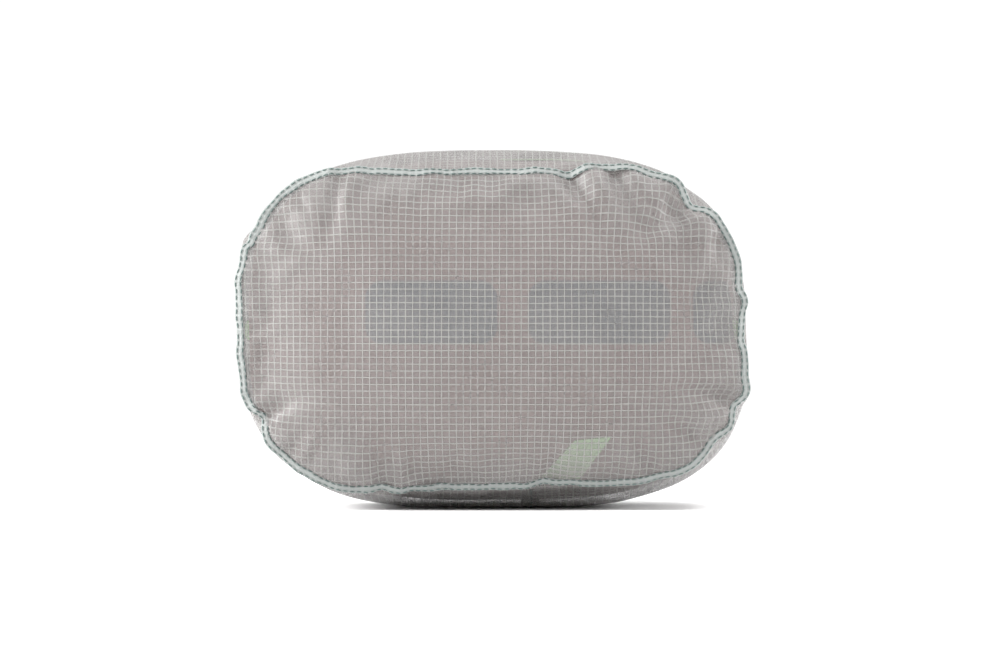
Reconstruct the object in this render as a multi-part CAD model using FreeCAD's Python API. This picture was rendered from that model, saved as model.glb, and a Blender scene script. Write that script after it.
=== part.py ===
"""A camp pillow packed in its stuff sack.

The sack lies on its long side. Its oval base panel faces -Y and its gathered mouth faces +Y. The pillow is
folded once inside, with the fold against the base panel. Millimetres, +Z up, origin at the bottom centre.
"""

import FreeCAD, Part
import functools
import math
import os

from FreeCAD import Vector

# Sack, over all
sack_width = 204.0
sack_height = 144.0
sack_depth = 164.0  # from the base panel's crown to the end of the mouth hem
floor_sag = 1.6  # how far the wall would reach below the floor if it did not lie flat on it

# Base panel
swell_side = 1.2  # how far the wall swells past the panel's edge at its left and right
swell_top = 9.4  # how far it swells past the panel's edge above and below
panel_crown = 18.0
crown_power = 2.8

# Side wall
cloth = 0.4
swell_length = 34.0  # from the base seam to where the wall is full size
shoulder_length = 46.0  # from the full-size wall to the mouth
shoulder_squareness = 2.3
neck_radius = 12.5
neck_squareness = 2.0
crown_squareness = 2.2  # exponent of the base panel's section at its crown
body_squareness = 2.8  # exponent of the wall's superellipse section
panel_squareness = 3.3

# Base seam: folded allowance with two rows of stitching
allowance_width = 3.6
allowance_build = 0.8
thread = 0.35
row_gap = 2.6

# Seam that closes the wall into a tube, along the underside
wall_seam_x = 9.4
wall_seam_width = 8.0
wall_seam_build = 0.6
wall_seam_margin = 3.0  # kept clear of the base seam and of the shoulder's inner end

# Mouth hem, a hollow ring that a drawcord would run in
hem_length = 13.0
hem_inner_radius = 9.0
hem_outer_radius = 16.0
hem_cloth = 0.6
hem_edge = 1.6  # corner radius of the folded hem
hem_stitch_inset = 2.4

# Cord eyelet in the top of the hem
eyelet_bore_radius = 2.5
eyelet_wall = 0.7
flange_radius = 4.4
flange_build = 0.5
patch_side = 11.0
patch_build = 0.5
eyelet_clearance = 0.05

# Pillow
pack_gap = 1.4  # between the sack's outside and the pillow's outside, past the wall seam
cover_cloth = 0.8
liner_cloth = 0.5
fold_gap = 2.0
fold_turn = 30.0  # thickness of the pillow at the turn of the fold
piping_radius = 1.9
piping_clearance = 0.4
piping_depth = 3.4  # from the pillow's outside to the piping's centre line
piping_corner = 38.0
filler_radius = 1.1
label_width = 22.0
label_length = 30.0
label_cloth = 0.3

SECTION_POINTS = 28  # points round each section of the sack
CROWN_SHARES = (0.12, 0.3, 0.5, 0.68, 0.84, 0.94, 1.0)  # sections out from the crown, as shares of the panel's size
SWELL_SHARES = (0.0, 0.2, 0.45, 0.7, 1.0)  # sections along each stretch of the wall, as shares of its length
BARREL_SHARES = (0.2, 0.4, 0.6, 0.8)
SHOULDER_SHARES = (0.0, 0.22, 0.43, 0.62, 0.78, 0.9, 0.97, 1.0)
PARTS = "parts"

mid_z = sack_height / 2 - floor_sag / 2
full_half_height = sack_height - mid_z
panel_width = sack_width - 2 * swell_side
panel_height = 2 * (full_half_height - swell_top)
y_front = -sack_depth / 2
y_seam = y_front + panel_crown
y_end = sack_depth / 2
y_neck = y_end - hem_length
y_shoulder = y_neck - shoulder_length
y_full = y_seam + swell_length
BIG = 4 * max(sack_width, sack_height, sack_depth)


def superellipse(half_x, half_z, power, y):
    """Points round the sack's axis, in the plane at y."""
    points = []
    for step in range(SECTION_POINTS):
        angle = 2 * math.pi * step / SECTION_POINTS
        across, up = math.cos(angle), math.sin(angle)
        reach = (abs(across) ** power + abs(up) ** power) ** (-1 / power)
        points.append(Vector(half_x * across * reach, y, mid_z + half_z * up * reach))
    return points


def between(low, high, share):
    return low + (high - low) * share


def distances(points):
    """How far along the line through the points each one is."""
    total = [0.0]
    for a, b in zip(points, points[1:]):
        total.append(total[-1] + a.distanceToPoint(b))
    return total


def skin(sections):
    """One smooth face through closed sections. Skins that share an end section share that edge exactly."""
    full_size = superellipse(sack_width / 2, full_half_height, body_squareness, 0)
    round_at = distances(full_size + full_size[:1])
    rings = []
    for points in sections:
        ring = Part.BSplineCurve()
        ring.interpolate(Points=points, PeriodicFlag=True, Parameters=round_at)
        rings.append(ring)
    along_at = distances([points[0] for points in sections])
    ribs = []
    for poles in zip(*(ring.getPoles() for ring in rings)):
        rib = Part.BSplineCurve()
        rib.interpolate(Points=list(poles), Parameters=along_at)
        ribs.append(rib)
    surface = Part.BSplineSurface()
    surface.buildFromPolesMultsKnots(
        [rib.getPoles() for rib in ribs],
        rings[0].getMultiplicities(),
        ribs[0].getMultiplicities(),
        rings[0].getKnots(),
        ribs[0].getKnots(),
        True,
        False,
        rings[0].Degree,
        ribs[0].Degree,
    )
    return surface.toShape()


def rim(face, y):
    """The wire of a skin's closed edge at y."""
    edge = min((e for e in face.Edges if e.isClosed()), key=lambda e: abs(e.firstVertex().Point.y - y))
    return Part.Wire(edge)


def solid_of(faces):
    """The solid that the faces close, with its faces outwards."""
    shell = Part.makeShell(faces)
    shell.sewShape()
    solid = Part.makeSolid(shell)
    return solid if solid.Volume > 0 else Part.makeSolid(shell.reversed())


def hollow(outer, inner):
    """A solid with the inner one, which lies wholly inside it, left empty."""
    return Part.makeSolid(Part.makeCompound([outer.Shells[0], inner.Shells[0].reversed()]))


def box(low, high):
    """A box between two corners, given as (x, y, z)."""
    size = [b - a for a, b in zip(low, high)]
    return Part.makeBox(*size, Vector(*low))


def above(z):
    return box((-BIG, -BIG, z), (BIG, BIG, BIG))


def crown_sections(inset):
    """Sections of the domed base panel, from its crown to the seam."""
    rings = []
    for share in CROWN_SHARES:
        y = y_seam - (panel_crown - inset) * (1 - share**crown_power)
        power = between(crown_squareness, panel_squareness, share)
        half_x = share * (panel_width / 2 - inset)
        half_z = share * (panel_height / 2 - inset)
        rings.append(superellipse(half_x, half_z, power, y))
    return rings


def swell_section(inset, y):
    """The section at y, where the wall swells from the base seam to its full size."""
    rise = math.sin(max(0.0, y - y_seam) / swell_length * math.pi / 2)
    half_x = between(panel_width, sack_width, rise) / 2 - inset
    half_z = between(panel_height / 2, full_half_height, rise) - inset
    return superellipse(half_x, half_z, between(panel_squareness, body_squareness, rise), y)


def wall_sections(inset):
    """Sections of the wall, from the base seam to the neck."""
    rings = []
    for share in SWELL_SHARES:
        rings.append(swell_section(inset, between(y_seam, y_full, share)))
    for share in BARREL_SHARES:
        y = between(y_full, y_shoulder, share)
        rings.append(superellipse(sack_width / 2 - inset, full_half_height - inset, body_squareness, y))
    for share in SHOULDER_SHARES:
        spread = (1 - share**shoulder_squareness) ** (1 / shoulder_squareness)
        half_x = between(neck_radius, sack_width / 2, spread) - inset
        half_z = between(neck_radius, full_half_height, spread) - inset
        power = between(neck_squareness, body_squareness, spread)
        rings.append(superellipse(half_x, half_z, power, between(y_shoulder, y_neck - inset, share)))
    return rings


@functools.cache
def crown_faces(inset):
    """The domed base panel and the small flat at its crown."""
    dome = skin(crown_sections(inset))
    return [dome, Part.Face(rim(dome, y_front))]


@functools.cache
def wall_faces(inset):
    """The side wall and the flat at its neck."""
    side = skin(wall_sections(inset))
    return [side, Part.Face(rim(side, y_neck))]


def seam_plane(faces):
    """The flat that closes a dome or a wall at the base seam."""
    return Part.Face(rim(faces[0], y_seam))


@functools.cache
def crown_solid(inset):
    faces = crown_faces(inset)
    return solid_of(faces + [seam_plane(faces)])


@functools.cache
def wall_solid(inset):
    """The wall's filled shape, flat underneath where the sack lies on the floor."""
    faces = wall_faces(inset)
    return solid_of(faces + [seam_plane(faces)]).common(above(inset))


@functools.cache
def filled_sack(inset):
    """Everything inside the sack, as one solid."""
    return solid_of(crown_faces(inset) + wall_faces(inset)).common(above(inset))


def cylinder_y(radius, y_low, y_high):
    return Part.makeCylinder(radius, y_high - y_low, Vector(0, y_low, mid_z), Vector(0, 1, 0))


def cloth_shell(outer, inner):
    """The cloth between two filled shapes that both end at the base seam."""
    skins, wires = [], []
    for solid in (outer, inner):
        ends = [f for f in solid.Faces if f.BoundBox.YLength < 1e-6 and abs(f.CenterOfMass.y - y_seam) < 1e-6]
        wires.append(ends[0].OuterWire)
        skins.extend(f for f in solid.Faces if not f.isSame(ends[0]))
    edge = Part.makeFace(wires, "Part::FaceMakerBullseye")
    return solid_of(skins + [edge])


def base_panel():
    return cloth_shell(crown_solid(0), crown_solid(cloth))


def side_wall():
    shell = cloth_shell(wall_solid(0), wall_solid(cloth))
    return shell.cut(cylinder_y(hem_inner_radius, y_neck - shoulder_length / 2, BIG))


def ring_band(inner, outer, y_low, y_high):
    """The band round the base seam that lies between two outsets from it."""
    stations = (y_low, between(y_low, y_high, 0.5), y_high)
    skins = [skin([swell_section(-outset, y) for y in stations]) for outset in (inner, outer)]
    ends = []
    for y in (y_low, y_high):
        ends.append(Part.makeFace([rim(face, y) for face in skins], "Part::FaceMakerBullseye"))
    return solid_of(skins + ends)


def allowance_band(inner, outer):
    """A band of the seam allowance's width that lies between two outsets from the base seam."""
    return ring_band(inner, outer, y_seam - allowance_width / 2, y_seam + allowance_width / 2)


def base_seam_allowance():
    """The folded allowance that stands round the panel's edge, backing onto the panel and the wall."""
    return allowance_band(-allowance_build, allowance_build).cut(crown_solid(0)).cut(wall_solid(0))


def base_seam_thread(side):
    """One row of stitching on the allowance: side -1 is the panel's row, and 1 the wall's."""
    middle = y_seam + side * row_gap / 2
    row = box((-BIG, middle - thread / 2, -BIG), (BIG, middle + thread / 2, BIG))
    return allowance_band(allowance_build, allowance_build + thread).common(row)


def wall_seam_strip(centre_x, width, depth, build):
    """A strip of the wall's lengthwise seam, built inwards from a depth below the wall's outside."""
    y_low, y_high = y_seam + wall_seam_margin, y_neck - shoulder_length / 3
    top = mid_z - neck_radius
    slab = box((centre_x - width / 2, y_low, -BIG), (centre_x + width / 2, y_high, top))
    wider = box((centre_x - width, y_low - width, -BIG), (centre_x + width, y_high + width, top))
    return wall_solid(depth).common(slab).cut(wall_solid(depth + build).common(wider))


def wall_seam_allowance():
    return wall_seam_strip(wall_seam_x, wall_seam_width, cloth, wall_seam_build)


def wall_seam_thread():
    depth = cloth + wall_seam_build
    rows = [wall_seam_strip(wall_seam_x + side * row_gap / 2, thread, depth, thread) for side in (-1, 1)]
    return Part.makeCompound(rows)


def hem_profile(inset):
    """The hem's rounded section, turned round the sack's axis."""
    low_r, high_r = hem_inner_radius + inset, hem_outer_radius - inset
    low_y, high_y = y_neck + inset, y_end - inset
    ring = cylinder_y(high_r, low_y, high_y).cut(cylinder_y(low_r, low_y, high_y))
    corner = max(hem_edge - inset, 0.3)
    return ring.makeFillet(corner, [e for e in ring.Edges if len(e.Vertexes) == 1])


def eyelet_y():
    return between(y_neck, y_end, 0.5) + hem_stitch_inset / 2


def cylinder_z(radius, z_low, z_high):
    return Part.makeCylinder(radius, z_high - z_low, Vector(0, eyelet_y(), z_low), Vector(0, 0, 1))


def eyelet_hole():
    return cylinder_z(eyelet_bore_radius + eyelet_wall + eyelet_clearance, mid_z + hem_inner_radius + hem_cloth, BIG)


def washer_top():
    """The height of the highest flat ring that fits under the hem's curved wall."""
    inner = hem_outer_radius - hem_cloth
    return mid_z + math.sqrt(inner**2 - flange_radius**2) - eyelet_clearance


def patch_top():
    return mid_z + hem_outer_radius + patch_build


def mouth_hem():
    return hem_profile(0).cut(hem_profile(hem_cloth)).cut(eyelet_hole())


def hem_thread():
    """The stitch line that closes the channel, round the outside of the hem."""
    y = y_neck + hem_stitch_inset
    outer = cylinder_y(hem_outer_radius + thread, y - thread / 2, y + thread / 2)
    return outer.cut(cylinder_y(hem_outer_radius, y - thread / 2, y + thread / 2))


def eyelet_patch():
    """A square of doubled cloth with a flat top, which the eyelet clamps."""
    half = patch_side / 2
    front = eyelet_y() - min(half, eyelet_y() - y_neck - hem_stitch_inset - thread)
    back = eyelet_y() + min(half, y_end - hem_edge - eyelet_y())
    block = box((-half, front, mid_z), (half, back, patch_top()))
    return block.cut(cylinder_y(hem_outer_radius, -BIG, BIG)).cut(eyelet_hole())


def cord_eyelet():
    """The eyelet's barrel and top flange."""
    flange = cylinder_z(flange_radius, patch_top(), patch_top() + flange_build)
    outer = eyelet_bore_radius + eyelet_wall
    barrel = cylinder_z(outer, washer_top() - flange_build, patch_top() + flange_build)
    bore = cylinder_z(eyelet_bore_radius, mid_z, BIG)
    return flange.fuse(barrel).cut(bore).removeSplitter()


def eyelet_washer():
    ring = cylinder_z(flange_radius, washer_top() - flange_build, washer_top())
    return ring.cut(cylinder_z(eyelet_bore_radius + eyelet_wall + eyelet_clearance, mid_z, BIG))


def fold_start():
    return y_front + pack_gap + fold_turn


@functools.cache
def fold_slab(half_gap):
    """The gap between the pillow's two halves, rounded where the pillow turns."""
    start = fold_start() - (half_gap - fold_gap / 2)
    turn = Part.makeCylinder(
        half_gap, 2 * BIG, Vector(-BIG, start + half_gap, mid_z), Vector(1, 0, 0)
    )
    slab = box((-BIG, start + half_gap, mid_z - half_gap), (BIG, BIG, mid_z + half_gap))
    return turn.fuse(slab).removeSplitter()


def piping_spread():
    """Half the distance between the piping's upper and lower runs."""
    return piping_radius + piping_clearance / 2


def piping_y_back():
    """Where the piping crosses behind the pillow."""
    return y_neck - shoulder_length / 2


def piping_half_width():
    """The pillow's half width, less the piping's depth, where the piping's corners start."""
    return panel_width / 2 - pack_gap - piping_depth


def piping_run(z, reach):
    """Three sides of a flat loop round the pillow at height z, from the left of the fold to its right."""
    half, back, corner = piping_half_width() + reach, piping_y_back() + reach, piping_corner + reach
    front = fold_start()
    slope = corner * (1 - math.sqrt(0.5))
    left = [
        Vector(-half, front, z),
        Vector(-half, back - corner, z),
        Vector(-half + slope, back - slope, z),
        Vector(-half + corner, back, z),
    ]
    right = [Vector(-p.x, p.y, p.z) for p in reversed(left)]
    return [
        Part.LineSegment(left[0], left[1]).toShape(),
        Part.Arc(left[1], left[2], left[3]).toShape(),
        Part.LineSegment(left[3], right[0]).toShape(),
        Part.Arc(right[0], right[1], right[2]).toShape(),
        Part.LineSegment(right[2], right[3]).toShape(),
    ]


def piping_turn(x):
    """The half circle that joins the upper run to the lower one at the fold."""
    front, spread = fold_start(), piping_spread()
    top, bottom = Vector(x, front, mid_z + spread), Vector(x, front, mid_z - spread)
    return Part.Arc(top, Vector(x, front - spread, mid_z), bottom).toShape()


@functools.cache
def piping_tube(radius):
    half = piping_half_width()
    upper, lower = piping_run(mid_z + piping_spread(), 0), piping_run(mid_z - piping_spread(), 0)
    path = Part.Wire(Part.__sortEdges__(upper + [piping_turn(half)] + lower + [piping_turn(-half)]))
    start = path.OrderedEdges[0].firstVertex(True).Point
    direction = path.OrderedEdges[0].tangentAt(path.OrderedEdges[0].FirstParameter)
    circle = Part.Wire(Part.makeCircle(radius, start, direction))
    return path.makePipeShell([circle], True, False)


def piping_groove():
    """The room that the piping needs between the pillow's halves, along its two sides and its back."""
    half_height = piping_spread() + piping_radius + piping_clearance
    z = mid_z - half_height
    outline = Part.Wire(piping_run(z, -piping_radius - piping_clearance))
    ends = outline.Vertexes
    first, last = ends[0].Point, ends[-1].Point
    closing = Part.LineSegment(last, first).toShape()
    inside = Part.Face(Part.Wire(Part.__sortEdges__(outline.Edges + [closing])))
    core = inside.extrude(Vector(0, 0, 2 * half_height))
    front = fold_start() - half_height
    room = box((-BIG, front, z), (BIG, BIG, z + 2 * half_height))
    turn_room = box((first.x, front, z), (last.x, first.y, z + 2 * half_height))
    return room.cut(core).cut(turn_room)


def pillow_pieces():
    """The pillow's layers, from the outside in, with room cut for the piping."""
    groove = piping_groove()
    whole, under_cover, under_liner = (
        filled_sack(pack_gap + depth) for depth in (0, cover_cloth, cover_cloth + liner_cloth)
    )
    cover_slab, liner_slab, fill_slab = (
        fold_slab(fold_gap / 2 + depth) for depth in (0, cover_cloth, cover_cloth + liner_cloth)
    )
    casing = hollow(under_cover, under_liner).cut(liner_slab)
    lining = fill_slab.cut(liner_slab).common(under_liner)
    back = liner_slab.cut(cover_slab).common(whole)
    return {
        "pillow_front_cover": hollow(whole, under_cover).cut(liner_slab).cut(groove),
        "pillow_back_cover": back.cut(groove),
        "pillow_liner": casing.fuse(lining).cut(groove),
        "pillow_fill": under_liner.cut(fill_slab).cut(groove),
    }


def piping_sleeve():
    return piping_tube(piping_radius).cut(piping_tube(filler_radius))


def care_label():
    """A blank folded label that hangs in the fold of the pillow, from its right-hand edge."""
    edge = piping_half_width() - piping_radius - 2 * piping_clearance
    centre_y = between(fold_start(), piping_y_back(), 0.5)
    low = (edge - label_length, centre_y - label_width / 2, mid_z - label_cloth)
    high = (edge, centre_y + label_width / 2, mid_z + label_cloth)
    return box(low, high)


def make_nodes():
    nodes = {
        "base_panel": base_panel(),
        "side_wall": side_wall(),
        "base_seam_allowance": base_seam_allowance(),
        "base_seam_thread_front": base_seam_thread(-1),
        "base_seam_thread_back": base_seam_thread(1),
        "wall_seam_allowance": wall_seam_allowance(),
        "wall_seam_thread": wall_seam_thread(),
        "mouth_hem": mouth_hem(),
        "mouth_hem_thread": hem_thread(),
        "eyelet_patch": eyelet_patch(),
        "cord_eyelet": cord_eyelet(),
        "eyelet_washer": eyelet_washer(),
        "piping_sleeve": piping_sleeve(),
        "piping_filler_cord": piping_tube(filler_radius),
        "care_label": care_label(),
    }
    nodes.update(pillow_pieces())
    return nodes


def export(nodes):
    os.makedirs(PARTS, exist_ok=True)
    for name, shape in sorted(nodes.items()):
        solids = [s for s in shape.Solids if s.Volume > 0.01]
        piece = solids[0] if len(solids) == 1 else Part.makeCompound(solids)
        piece.exportStep(os.path.join(PARTS, name + ".step"))
        extent = piece.optimalBoundingBox(True, False)
        print(
            f"{name:24s} solids {len(solids)} valid {piece.isValid()} volume {piece.Volume / 1000:9.2f} cm3 "
            f"x {extent.XMin:7.1f} {extent.XMax:6.1f} y {extent.YMin:6.1f} {extent.YMax:6.1f} "
            f"z {extent.ZMin:6.1f} {extent.ZMax:6.1f}"
        )


export(make_nodes())
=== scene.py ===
# %% [markdown]
# # A camp pillow, packed in its stuff sack
# The pillow is folded once and pushed into a small bag of see-through ripstop nylon. The bag has an
# oval base panel, a long side wall that is gathered shut at the far end, and a stitched seam that
# joins the two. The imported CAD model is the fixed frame. Its boxes give the sizes and places that
# the pieces start from.

# %% Load the frame
import math

import bmesh
import bpy
from mathutils import Matrix, Vector, noise
from mathutils.bvhtree import BVHTree


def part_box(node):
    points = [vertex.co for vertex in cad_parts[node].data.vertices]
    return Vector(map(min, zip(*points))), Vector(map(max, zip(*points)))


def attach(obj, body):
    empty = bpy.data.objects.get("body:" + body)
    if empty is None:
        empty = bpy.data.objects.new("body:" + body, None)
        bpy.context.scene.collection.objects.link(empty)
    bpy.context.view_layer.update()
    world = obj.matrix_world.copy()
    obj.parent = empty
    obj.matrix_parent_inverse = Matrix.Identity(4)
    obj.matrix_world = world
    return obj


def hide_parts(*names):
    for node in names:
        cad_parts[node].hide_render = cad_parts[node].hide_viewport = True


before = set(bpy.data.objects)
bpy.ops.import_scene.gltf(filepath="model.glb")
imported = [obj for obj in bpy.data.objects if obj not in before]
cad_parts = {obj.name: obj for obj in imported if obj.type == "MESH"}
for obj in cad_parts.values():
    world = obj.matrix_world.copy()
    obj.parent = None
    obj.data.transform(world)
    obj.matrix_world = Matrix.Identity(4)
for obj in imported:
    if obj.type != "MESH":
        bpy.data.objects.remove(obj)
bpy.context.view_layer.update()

# %% [markdown]
# ## Camera
# A long lens far away keeps the bag's sides almost parallel, and the camera looks straight at the
# base panel, from half the bag's height. The lens follows from how wide the view is at the bag.

# %% Camera
CAMERA_DISTANCE = 2.4
VIEW_WIDTH = 0.4  # metres across the picture, where the wall is widest
SENSOR_WIDTH = 36.0
AIM = Vector((0.003, -0.03, 0.0732))

camera_data = bpy.data.cameras.new("camera")
camera_data.sensor_width = SENSOR_WIDTH
camera_data.lens = SENSOR_WIDTH * CAMERA_DISTANCE / VIEW_WIDTH
camera = bpy.data.objects.new("camera", camera_data)
camera.location = AIM - Vector((0, CAMERA_DISTANCE, 0))
camera.rotation_euler = (math.radians(90), 0, 0)
bpy.context.collection.objects.link(camera)
bpy.context.scene.camera = camera
print("Lens in mm:", round(camera_data.lens))

# %% [markdown]
# ## Floor and light
# The floor is a plain white sheet and the world is an even white, so that the bag stands in soft
# light from all round. Three soft lamps then bring out its creases: the strongest is on the left,
# the second above and in front, and a weak one lights the right edge.

# %% Floor and light
FLOOR_SIZE = 8.0
WORLD_STRENGTH = 1.06
LAMP_TARGET = (0, 0, 0.07)  # the middle of the bag


def lamp(name, place, target, size, watts):
    """A square soft light that faces a target."""
    data = bpy.data.lights.new(name, "AREA")
    data.size = size
    data.energy = watts
    light = bpy.data.objects.new(name, data)
    light.location = place
    light.rotation_euler = (Vector(target) - Vector(place)).to_track_quat("-Z", "Y").to_euler()
    bpy.context.collection.objects.link(light)


bpy.context.scene.view_settings.view_transform = "Standard"
world = bpy.data.worlds.new("studio")
world.use_nodes = True
world.node_tree.nodes["Background"].inputs["Color"].default_value = (1, 1, 1, 1)
world.node_tree.nodes["Background"].inputs["Strength"].default_value = WORLD_STRENGTH
bpy.context.scene.world = world
lamp("key_lamp", (-1.1, -0.20, 0.5), LAMP_TARGET, 0.5, 28)
lamp("top_lamp", (0.40, -0.30, 1.1), LAMP_TARGET, 0.6, 13)
lamp("edge_lamp", (1.2, 0.05, 0.4), LAMP_TARGET, 0.3, 9)

# %% [markdown]
# ## A small kit for shaders
# A shader's sums are easier to read as sums. `Sock` wraps a socket, so that `a * 2 - b` adds the
# Math nodes that work it out. Every other node comes from `Shader.node`, which takes its type, its
# settings and its inputs.

# %% Shader kit
class Sock:
    """A socket that can be used in sums."""

    def __init__(self, shader, socket):
        self.shader = shader
        self.socket = socket

    def math(self, operation, *others):
        return self.shader.node("ShaderNodeMath", {"operation": operation}, [self, *others])

    def __add__(self, other):
        return self.math("ADD", other)

    def __mul__(self, other):
        return self.math("MULTIPLY", other)

    def __sub__(self, other):
        return self.math("SUBTRACT", other)

    def __rsub__(self, other):
        return self.shader.node("ShaderNodeMath", {"operation": "SUBTRACT"}, [other, self])

    def __truediv__(self, other):
        return self.math("DIVIDE", other)

    __radd__ = __add__
    __rmul__ = __mul__


class Shader:
    """A material whose nodes are written as Python."""

    def __init__(self, name):
        self.material = bpy.data.materials.new(name)
        self.material.use_nodes = True
        self.tree = self.material.node_tree
        self.surface = self.tree.nodes["Principled BSDF"]

    def node(self, kind, settings, inputs, output=0):
        """Adds a node. Inputs are values or socks, by name, or in order."""
        node = self.tree.nodes.new(kind)
        for key, value in settings.items():
            setattr(node, key, value)
        named = inputs.items() if isinstance(inputs, dict) else enumerate(inputs)
        for key, value in named:
            self.feed(node.inputs[key], value)
        return Sock(self, node.outputs[output])

    def feed(self, socket, value):
        if isinstance(value, Sock):
            self.tree.links.new(value.socket, socket)
        else:
            socket.default_value = value

    def set(self, **inputs):
        """Sets the surface's own sockets: Base_Color stands for Base Color."""
        for key, value in inputs.items():
            self.feed(self.surface.inputs[key.replace("_", " ")], value)
        return self.material

    def split(self, vector):
        """The x, y and z of a vector."""
        node = self.tree.nodes.new("ShaderNodeSeparateXYZ")
        self.tree.links.new(vector.socket, node.inputs[0])
        return [Sock(self, out) for out in node.outputs]

    def uv(self, name="cloth"):
        return self.node("ShaderNodeUVMap", {"uv_map": name}, {})

    def place(self):
        """Object coordinates, in metres."""
        return self.node("ShaderNodeTexCoord", {}, {}, "Object")

    def noise(self, vector, size, detail=3.0, roughness=0.5):
        inputs = {"Vector": vector, "Scale": 1 / size, "Detail": detail, "Roughness": roughness}
        return self.node("ShaderNodeTexNoise", {}, inputs)

    def ramp(self, value, low, high, start=0.0, end=1.0):
        """Value runs smoothly from start at low to end at high."""
        settings = {"interpolation_type": "SMOOTHSTEP"}
        inputs = {"Value": value, "From Min": low, "From Max": high, "To Min": start, "To Max": end}
        return self.node("ShaderNodeMapRange", settings, inputs)

    def mix(self, share, first, second):
        """A blend of two colours."""
        node = self.tree.nodes.new("ShaderNodeMix")
        node.data_type = "RGBA"
        self.feed(node.inputs[0], share)
        self.feed(node.inputs[6], first)
        self.feed(node.inputs[7], second)
        return Sock(self, node.outputs[2])

    def bump(self, height, distance, strength=1.0):
        inputs = {"Height": height, "Distance": distance, "Strength": strength}
        return self.node("ShaderNodeBump", {}, inputs, "Normal")


def tone(red, green, blue):
    """A colour given in everyday 0 to 255 values, as the linear light that shaders work in."""
    parts = [c / 255 for c in (red, green, blue)]
    return (*[c / 12.92 if c <= 0.04045 else ((c + 0.055) / 1.055) ** 2.4 for c in parts], 1.0)


# %% Floor
floor_paint = Shader("floor_paint")
floor_shade = floor_paint.noise(floor_paint.place(), 0.6)
floor_paint.set(
    Base_Color=floor_paint.mix(floor_shade, tone(250, 250, 250), tone(254, 254, 254)), Roughness=0.8
)
floor_mesh = bmesh.new()
bmesh.ops.create_grid(floor_mesh, x_segments=2, y_segments=2, size=FLOOR_SIZE / 2)
floor_data = bpy.data.meshes.new("floor")
floor_mesh.to_mesh(floor_data)
floor_mesh.free()
floor = bpy.data.objects.new("floor", floor_data)
floor.data.materials.append(floor_paint.material)
bpy.context.collection.objects.link(floor)

# %% [markdown]
# ## The bag's shape
# A soft bag has no straight sections. Each section of this one is a superellipse, which is an oval
# that can be made boxier by its exponent. The sizes are read from the CAD boxes, and the exponents
# are the CAD model's own.

# %% Sizes from the frame
panel_low, panel_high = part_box("base_panel")
wall_low, wall_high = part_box("side_wall")
PANEL_HALF_X = (panel_high.x - panel_low.x) / 2
PANEL_HALF_Z = (panel_high.z - panel_low.z) / 2
MID_Z = (panel_high.z + panel_low.z) / 2
SEAM_Y = panel_high.y
FRONT_Y = panel_low.y
WALL_HALF_X = (wall_high.x - wall_low.x) / 2
WALL_HALF_Z = wall_high.z - MID_Z
NECK_Y = wall_high.y
NECK_RADIUS = 0.0125
SWELL_LENGTH = 0.034
SHOULDER_LENGTH = 0.046
PANEL_POWER = 3.3
CROWN_POWER = 2.8
BODY_POWER = 2.8
SHOULDER_POWER = 2.3
print("Panel in mm:", round(2000 * PANEL_HALF_X, 1), "by", round(2000 * PANEL_HALF_Z, 1))

# %% Section helpers
def between(low, high, share):
    return low + (high - low) * share


def bell(distance, width):
    """1 at no distance, falling smoothly to nothing."""
    return math.exp(-((distance / width) ** 2))


def turn_between(a, b):
    """The angle from a to b the short way round."""
    return (a - b + math.pi) % (2 * math.pi) - math.pi


def section_point(half_x, half_z, power, way, y):
    """The point of a section that lies in a direction from the bag's axis."""
    across, up = math.cos(way), math.sin(way)
    reach = (abs(across) ** power + abs(up) ** power) ** (-1 / power)
    return Vector((half_x * across * reach, y, MID_Z + half_z * up * reach))


def wall_section(stage):
    """y, half width, half height and exponent. Stage 0 to 1 is the swell, 1 to 2 the barrel, and
    2 to 3 the shoulder."""
    full_y = SEAM_Y + SWELL_LENGTH
    shoulder_y = NECK_Y - SHOULDER_LENGTH
    if stage <= 1:
        rise = math.sin(stage * math.pi / 2)
        half_x = between(PANEL_HALF_X, WALL_HALF_X, rise)
        half_z = between(PANEL_HALF_Z, WALL_HALF_Z, rise)
        return between(SEAM_Y, full_y, stage), half_x, half_z, between(PANEL_POWER, BODY_POWER, rise)
    if stage <= 2:
        return between(full_y, shoulder_y, stage - 1), WALL_HALF_X, WALL_HALF_Z, BODY_POWER
    share = min(stage - 2, 1.0)
    spread = (1 - share**SHOULDER_POWER) ** (1 / SHOULDER_POWER)
    half_x = between(NECK_RADIUS, WALL_HALF_X, spread)
    half_z = between(NECK_RADIUS, WALL_HALF_Z, spread)
    return between(shoulder_y, NECK_Y, share), half_x, half_z, between(2.0, BODY_POWER, spread)


def even_sections(spacing):
    """Wall sections at even steps along the cloth, from the seam to the neck, each with its distance."""
    fine = [wall_section(3 * step / 3000) for step in range(3001)]
    picked, travelled = [(0.0, fine[0])], 0.0
    for before, after in zip(fine, fine[1:]):
        drop = ((before[1] - after[1]) + (before[2] - after[2])) / 2
        travelled += math.hypot(after[0] - before[0], drop)
        if travelled >= picked[-1][0] + spacing:
            picked.append((travelled, after))
    return picked


def panel_point(across, up):
    """The base panel's point for a place in a square from -1 to 1."""
    level = max(abs(across), abs(up))
    way = math.atan2(up, across)
    power = between(2.2, PANEL_POWER, level)
    rim = section_point(level * PANEL_HALF_X, level * PANEL_HALF_Z, power, way, SEAM_Y)
    rim.y -= (SEAM_Y - FRONT_Y) * (1 - level**CROWN_POWER)
    return rim


wall_length = even_sections(0.001)[-1][0]
print("Cloth from the seam to the neck in mm:", round(1000 * wall_length))

# %% [markdown]
# ## Cutting the cloth
# The bag's cloth starts as one mesh. A square grid is pressed into the base panel's oval, and its
# edge is extruded ring by ring along the side wall to the mouth. The two pieces so share their
# seam, and a crease can cross it. Each vertex remembers its direction from the bag's axis and how
# far it is from the seam, measured along the cloth.

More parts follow.
